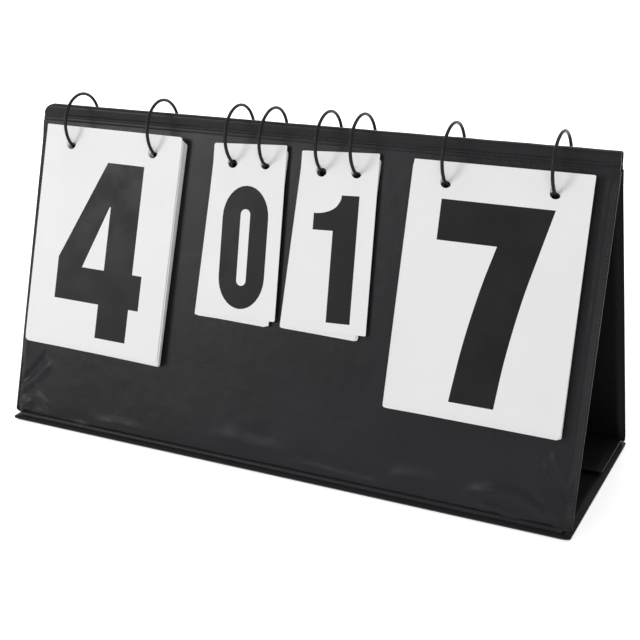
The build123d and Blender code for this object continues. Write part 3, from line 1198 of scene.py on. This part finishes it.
def islands(node):
    """The separate solids of a node, as arrays of points."""
    mesh = frame["nodes"][node].data
    seen = list(range(len(mesh.vertices)))

    def root(i):
        while seen[i] != i:
            seen[i] = seen[seen[i]]
            i = seen[i]
        return i

    same = {}
    for vertex in mesh.vertices:
        key = tuple(round(c, 7) for c in vertex.co)
        if key in same:
            seen[root(vertex.index)] = root(same[key])
        same[key] = vertex.index
    for edge in mesh.edges:
        a, b = root(edge.vertices[0]), root(edge.vertices[1])
        seen[a] = b
    found = {}
    for vertex in mesh.vertices:
        found.setdefault(root(vertex.index), []).append(vertex.co)
    return [np.array(points) for points in found.values()]


def cards_of(node, side):
    """Each card of a node, nearest its cover first."""
    found = [Card(seen_from(slope(side), points)) for points in islands(node)]
    return sorted(found, key=lambda card: card.low)


ROUND_HANDLE = 0.5523  # share of a cut at which a curve's handles stand to give a round corner


def rounded_contour(points, arc_steps=8):
    """An outline with its corners rounded over their cuts, each corner written as in NUMBERS."""
    full = [(*p[:2], *((p[2], p[-1]) if len(p) > 2 else (0.0, 0.0))) for p in points]
    made = []
    for index, (x, y, before, after) in enumerate(full):
        here = Vector((x, y))
        if before == 0 and after == 0:
            made.append(here)
            continue
        last, following = Vector(full[index - 1][:2]), Vector(full[(index + 1) % len(full)][:2])
        a = here + (last - here).normalized() * before
        b = here + (following - here).normalized() * after
        c, d = a.lerp(here, ROUND_HANDLE), b.lerp(here, ROUND_HANDLE)
        for t in (step / arc_steps for step in range(arc_steps + 1)):
            made.append(a * (1 - t) ** 3 + 3 * c * t * (1 - t) ** 2 + 3 * d * t * t * (1 - t) + b * t**3)
    return made


def flat_plate(name, contours, thickness):
    """A plate from outlines, outer and inner, standing on its frame's zero and shaded flat."""
    curve = bpy.data.curves.new(name, "CURVE")
    curve.dimensions = "2D"
    curve.fill_mode = "BOTH"
    curve.extrude = thickness / 2
    for contour in contours:
        spline = curve.splines.new("POLY")
        spline.points.add(len(contour) - 1)
        for point, place in zip(spline.points, contour):
            point.co = (place.x, place.y, 0, 1)
        spline.use_cyclic_u = True
    holder = linked(curve)
    mesh = evaluated(holder)
    bpy.data.objects.remove(holder)
    bpy.data.curves.remove(curve)
    mesh.transform(Matrix.Translation((0, 0, thickness / 2)))
    mesh.name = name
    welded(mesh)
    mesh.shade_flat()
    return mesh


def welded(mesh):
    """Joins the doubled points of a filled and extruded outline."""
    work = bmesh.new()
    work.from_mesh(mesh)
    bmesh.ops.remove_doubles(work, verts=work.verts, dist=1e-7)
    bmesh.ops.recalc_face_normals(work, faces=work.faces)
    work.to_mesh(mesh)
    work.free()
    mesh.update()


def circle(x, y, radius, sides=36):
    """Outline of a round hole, run the other way from the outline that it is cut in."""
    return [Vector((x + radius * cos(turn), y - radius * sin(turn))) for turn in turns(sides)]


def card_holes(name, side, card):
    """Places of a card's two holes across it, from the rings that it hangs on."""
    place = (slope(side) @ card.place()).inverted()
    ridge = Vector((0, 0, cloth().apex_height))
    rings = [Vector((middle_of(f"{name}_ring_{hand}").x, 0, 0)) for hand in ("left", "right")]
    left, right = ((place @ (ring + ridge)).x for ring in rings)
    pitch = abs(left - right)
    return -pitch / 2, pitch / 2


# Numbers on a grid that is 118 high: each outline runs round its number, with y negative below the top edge.
# A corner is (x, y), or (x, y, cut) and (x, y, cut before, cut after) where it is rounded.
SLOT = 5.2  # half the width of the space inside a number


def slot_outline(top, bottom):
    """The space inside a number, with fully rounded ends."""
    return [(SLOT, top, SLOT), (-SLOT, top, SLOT), (-SLOT, bottom, SLOT), (SLOT, bottom, SLOT)]


NUMBERS = {
    "0": [
        [(24.8, 0, 31, 24.8), (-24.8, 0, 24.8, 31), (-24.8, -118, 31, 24.8), (24.8, -118, 24.8, 31)],
        slot_outline(-22.3, -95.7),
    ],
    "1": [
        [
            (22.5, 0), (4.6, 0), (4.6, -4, 3), (-4, -17.5, 10, 16), (-22.5, -17.5), (-22.5, -33),
            (-1.8, -33), (-1.8, -118), (22.5, -118),
        ],
    ],
    "2": [
        [
            (25.5, 0, 30, 25), (-25.5, 0, 25, 30), (-25.5, -40), (-5.4, -40), (-5.4, -21, 5.4),
            (5.4, -21, 5.4), (5.4, -47, 12), (-25.5, -98), (-25.5, -118), (25.5, -118), (25.5, -97),
            (-1, -97), (25.5, -56, 22),
        ],
    ],
    "3": [
        [
            (25, 0, 28, 25), (-25.5, 0, 25, 28), (-25.5, -37), (-5.6, -37), (-5.6, -21, 5.5), (5, -21, 5),
            (5, -49, 5), (-8, -49), (-8, -67), (5.6, -67, 5), (5.6, -97, 5.5), (-5.6, -97, 5.5),
            (-5.6, -79), (-25.5, -79), (-25.5, -118, 28, 25), (25.5, -118, 25, 28), (25.5, -64, 10),
            (17, -57.5, 4), (25, -51, 10),
        ],
    ],
    "4": [
        [
            (27.7, 0), (-1.3, 0), (-33.4, -67), (-33.4, -95.3), (3.2, -95.3), (3.2, -118), (27.7, -118),
            (27.7, -95.3), (35.3, -95.3), (35.3, -72), (27.7, -72),
        ],
        [(4.8, -29.3), (4.8, -72), (-13.3, -72), (3.9, -29.3)],
    ],
    "5": [
        [
            (23.5, 0), (-24, 0), (-25.5, -66), (-5.6, -66), (-5.6, -59, 4), (5.6, -59, 5.5),
            (5.6, -97, 5.5), (-5.6, -97, 5.5), (-5.6, -84), (-25.5, -84), (-25.5, -118, 28, 25),
            (25.5, -118, 25, 28), (25.5, -39, 24, 20), (-1, -39, 10), (-5.6, -44, 4), (-5, -20.5),
            (23.5, -20.5),
        ],
    ],
    "6": [
        [
            (25.5, 0, 28, 25), (-25.5, 0, 25, 30), (-25.5, -118, 30, 25), (25.5, -118, 25, 28),
            (25.5, -46, 20, 16), (3, -46, 8), (-5.4, -50, 3), (-5.4, -21, 5.4), (5.4, -21, 5.4),
            (5.4, -36), (25.5, -36),
        ],
        slot_outline(-64, -97),
    ],
    "7": [
        [
            (34.4, 0), (-34.4, 0), (-34.4, -24.2), (2.9, -24.2), (-8.5, -66, 30), (-14.6, -118),
            (13.2, -118), (17.6, -70, 30),
        ],
    ],
    "8": [
        [
            (24.5, 0, 27, 24.5), (-24.5, 0, 24.5, 27), (-24.5, -50, 11), (-18, -57.5, 4), (-25.8, -65, 11),
            (-25.8, -118, 28, 25.8), (25.8, -118, 25.8, 28), (25.8, -65, 11), (18, -57.5, 4),
            (24.5, -50, 11),
        ],
        slot_outline(-20.5, -48),
        slot_outline(-66.5, -97.5),
    ],
}
NUMBER_HEIGHT = 118.0
# Height of a number, and how far it starts below the card's top edge
POINTS_NUMBER = (118.1 * MM, 21.9 * MM)
GAMES_NUMBER = (78.7 * MM, 26.4 * MM)
TALL_CARD = 130 * MM  # a card higher than this is a points card


def printed(name, number, card, side, body, behind=False):
    """A number as a thin plate of ink on a card's face, or on its reverse, riding with the card."""
    height, drop = POINTS_NUMBER if card.height > TALL_CARD else GAMES_NUMBER
    scale = height / NUMBER_HEIGHT
    contours = []
    for contour in NUMBERS[number]:
        sized = [(p[0] * scale, p[1] * scale - drop, *(cut * scale for cut in p[2:])) for p in contour]
        contours.append(rounded_contour(sized))
    mesh = flat_plate(name, contours, cards().ink)
    clear = cards().ink / 6
    if behind:
        mesh.transform(Matrix.Rotation(pi, 4, "Y"))
    mesh.transform(Matrix.Translation((0, 0, -clear if behind else card.thick + clear)))
    finish(linked(mesh, slope(side) @ card.place()), ink_material(), "card", body)


# What shows on the front and then on the back: the loose card's face, its reverse and the card under it
SHOWN = {
    "home_points": (("4", "5", "5"), ("4", "3", "3")),
    "home_games": (("0", "1", "1"), ("0", None, None)),
    "guest_games": (("1", "2", "2"), ("1", "0", "0")),
    "guest_points": (("7", "8", "8"), ("7", "6", "6")),
}


# Corner radii of the loose cards in millimetres: upper right, lower right, lower left and upper left
LOOSE_CORNERS = {
    "home_points": (2.2, 0.5, 3.0, 0.5),
    "home_games": (1.0, 1.2, 1.6, 1.3),
    "guest_games": (1.0, 0.5, 1.7, 0.9),
    "guest_points": (1.0, 0.5, 2.3, 0.5),
}


def card_plate(name, stack, side, card, corners):
    """A card in its own frame, with its corners rounded in the order of LOOSE_CORNERS and two round holes."""
    w, h = card.width / 2, card.height
    upper_right, lower_right, lower_left, upper_left = (radius * MM for radius in corners)
    edge = [(w, 0, upper_right), (-w, 0, upper_left), (-w, -h, lower_left), (w, -h, lower_right)]
    holes = [circle(x, -cards().margin, cards().hole / 2) for x in card_holes(stack, side, card)]
    return flat_plate(name, [rounded_contour(edge, 10), *holes], card.thick)


def card_piece(name, side):
    """The loose card of a stack's side, with rounded corners and round holes; returns where it lies."""
    node = f"{name}_{side}_card"
    card = cards_of(node, side)[0]
    mesh = card_plate(f"{node}_sheet", name, side, card, LOOSE_CORNERS[name])
    finish(linked(mesh, slope(side) @ card.place()), card_material(), "card", node, node)
    return card


# How far the cards of a front pack have turned about their holes and how much further the deepest of them,
# in degrees, and how far the deepest has slipped along X, in millimetres
SLIPPED = {
    "home_points": (0.0, 0.0, 0.4),
    "home_games": (0.0, -1.5, -0.3),
    "guest_games": (-1.0, -0.2, 0.0),
    "guest_points": (0.0, -1.0, -0.8),
}


def pack_piece(name, side):
    """The fixed cards of one side of a stack, each with its own corners; returns where the outermost lies."""
    node = f"{name}_{side}_pack"
    found = cards_of(node, side)
    turn, further, slip = SLIPPED[name] if side == "front" else (0.0, 0.0, 0.0)
    about = Matrix.Translation((0, -cards().margin, 0))
    work = bmesh.new()
    for number, card in enumerate(found):
        depth = 1 - number / max(len(found) - 1, 1)
        corners = [1.4 + 0.5 * sin(1.7 * number + corner) for corner in range(4)]
        mesh = card_plate(node, name, side, card, corners)
        turned = about @ Matrix.Rotation(radians(turn + further * depth), 4, "Z") @ about.inverted()
        mesh.transform(card.place() @ Matrix.Translation((slip * depth * MM, 0, 0)) @ turned)
        work.from_mesh(mesh)
        bpy.data.meshes.remove(mesh)
    mesh = bpy.data.meshes.new(f"{node}_sheets")
    work.to_mesh(mesh)
    work.free()
    finish(linked(mesh, slope(side)), card_material(), "card", f"{side}_panel", node)
    return found[-1]


class Cards(bpy.types.Operator):
    """Number cards and their printing"""

    bl_idname = "scoreboard.cards"
    bl_label = "Cards"

    def execute(self, context):
        for name in STACKS:
            for side, (face, reverse, under) in zip(("front", "back"), SHOWN[name]):
                place, loose = f"{name}_{side}", f"{name}_{side}_card"
                card = card_piece(name, side)
                printed(f"{place}_number", face, card, side, loose)
                if reverse:
                    printed(f"{place}_reverse_number", reverse, card, side, loose, behind=True)
                if f"{place}_pack" in frame["nodes"]:
                    printed(f"{place}_next_number", under, pack_piece(name, side), side, f"{side}_panel")
        return {"FINISHED"}


# ---------------------------------------------------------------- stage


FLOOR_GLOW = 0.6  # what the floor adds to its own light beside the object, where its shadow shows
GLOW_SPAN = (0.25, 0.8)  # from the object's middle, where the floor starts to turn white and is all white
FLOOR_HALF = 6.0
FLOOR_DROP = 0.2 * MM  # keeps the floor clear of the base's underside
SKY_LIGHT = 0.42
LAMP_TARGET = Vector((0, 0, 0.1))
LAMPS = (  # name, place, size, and power in watts
    ("key", (-1.25, -1.45, 0.8), 0.7, 14.4),
    ("fill", (0.95, -1.55, 0.45), 0.9, 4.6),
    ("top", (0.1, 0.35, 1.9), 1.4, 8.0),
    ("back", (-0.3, 1.7, 0.9), 1.4, 9.0),
)


def seen_directly(tree):
    """1 for what the camera sees, also in gloss or through things, 0 for the light that falls on them."""
    path = tree.nodes.new("ShaderNodeLightPath").outputs
    seen = maths(tree, "MAXIMUM", path["Is Camera Ray"], path["Is Glossy Ray"])
    return maths(tree, "MAXIMUM", seen, path["Is Transmission Ray"])


def floor_material(tone):
    """Pale floor, white to the camera except where the object shades it."""

    def build(tree, shader, place):
        shader.inputs["Base Color"].default_value = (tone, tone, tone, 1)
        shader.inputs["Roughness"].default_value = 0.9
        shader.inputs["Specular IOR Level"].default_value = 0.0
        away = tree.nodes.new("ShaderNodeVectorMath")
        away.operation = "LENGTH"
        tree.links.new(place, away.inputs[0])
        level = ranged(tree, away.outputs["Value"], *GLOW_SPAN, FLOOR_GLOW, 1.0)
        glow = tree.nodes.new("ShaderNodeEmission")
        tree.links.new(maths(tree, "MULTIPLY", seen_directly(tree), level), glow.inputs["Strength"])
        both = tree.nodes.new("ShaderNodeAddShader")
        tree.links.new(shader.outputs[0], both.inputs[0])
        tree.links.new(glow.outputs[0], both.inputs[1])
        tree.links.new(both.outputs[0], tree.nodes["Material Output"].inputs["Surface"])

    return material("studio_floor", build)


def sky():
    """White surroundings to the eye and in gloss, and a soft grey light on the object."""
    world = bpy.data.worlds.new("studio")
    bpy.context.scene.world = world
    world.use_nodes = True
    tree = world.node_tree
    tree.nodes.clear()
    mix, out = tree.nodes.new("ShaderNodeMixShader"), tree.nodes.new("ShaderNodeOutputWorld")
    tree.links.new(seen_directly(tree), mix.inputs["Fac"])
    for socket, strength in ((mix.inputs[1], SKY_LIGHT), (mix.inputs[2], 1.0)):
        light = tree.nodes.new("ShaderNodeBackground")
        light.inputs["Color"].default_value = (1, 1, 1, 1)
        light.inputs["Strength"].default_value = strength
        tree.links.new(light.outputs[0], socket)
    tree.links.new(mix.outputs[0], out.inputs["Surface"])


def soft_light(name, place, size, power):
    lamp = bpy.data.lights.new(name, "AREA")
    lamp.shape = "DISK"
    lamp.size = size
    lamp.energy = power
    holder = linked(lamp)
    holder.location = place
    holder.rotation_euler = (LAMP_TARGET - Vector(place)).to_track_quat("-Z", "Y").to_euler()


class Stage(bpy.types.Operator):
    """Floor, soft lights and camera"""

    bl_idname = "scoreboard.stage"
    bl_label = "Stage"

    def execute(self, context):
        settings = context.scene.scoreboard_stage
        corners = [(x * FLOOR_HALF, y * FLOOR_HALF, 0) for x, y in ((-1, -1), (1, -1), (1, 1), (-1, 1))]
        floor = linked(mesh_of("studio_floor", corners, [(0, 1, 2, 3)]))
        floor.location.z = -FLOOR_DROP
        floor.data.materials.append(floor_material(settings.floor_tone))
        sky()
        for lamp in LAMPS:
            soft_light(*lamp)
        eye = bpy.data.cameras.new("camera")
        eye.sensor_width = 36.0
        eye.lens = settings.lens
        camera = linked(eye)
        aim = (
            Matrix.Rotation(settings.azimuth, 4, "Z")
            @ Matrix.Rotation(pi / 2 - settings.elevation, 4, "X")
            @ Matrix.Rotation(settings.roll, 4, "Z")
        )
        camera.matrix_world = Matrix.Translation(settings.camera_place) @ aim
        context.scene.camera = camera
        context.scene.view_settings.view_transform = "Standard"
        return {"FINISHED"}


# ---------------------------------------------------------------- add-on


PIECES = (PanelCovers, RidgeBand, Creases, BaseAndFlap, Stitching, BoardsAndTapes, Rings, Cards, Stage)


class ScoreboardPanel(bpy.types.Panel):
    """Buttons for each group of pieces, and the sizes and colours that they use"""

    bl_idname = "VIEW3D_PT_scoreboard"
    bl_label = "Flip scoreboard"
    bl_space_type = "VIEW_3D"
    bl_region_type = "UI"
    bl_category = "Scoreboard"

    def draw(self, context):
        for operator in PIECES:
            self.layout.operator(operator.bl_idname)
        for settings in SETTINGS:
            holder = getattr(context.scene, settings)
            box = self.layout.box()
            for name in holder.bl_rna.properties.keys():
                if name not in ("rna_type", "name"):
                    box.prop(holder, name)


SETTINGS = {
    "scoreboard_cloth": ClothProperties,
    "scoreboard_cards": CardProperties,
    "scoreboard_rings": RingProperties,
    "scoreboard_stage": StageProperties,
}


def register():
    for name, kind in SETTINGS.items():
        bpy.utils.register_class(kind)
        setattr(bpy.types.Scene, name, bpy.props.PointerProperty(type=kind))
    for kind in (*PIECES, ScoreboardPanel):
        bpy.utils.register_class(kind)


def unregister():
    for kind in (ScoreboardPanel, *reversed(PIECES)):
        bpy.utils.unregister_class(kind)
    for name, kind in SETTINGS.items():
        delattr(bpy.types.Scene, name)
        bpy.utils.unregister_class(kind)


def main():
    register()
    for operator in PIECES:
        family, name = operator.bl_idname.split(".")
        getattr(getattr(bpy.ops, family), name)()


if __name__ == "__main__":
    main()
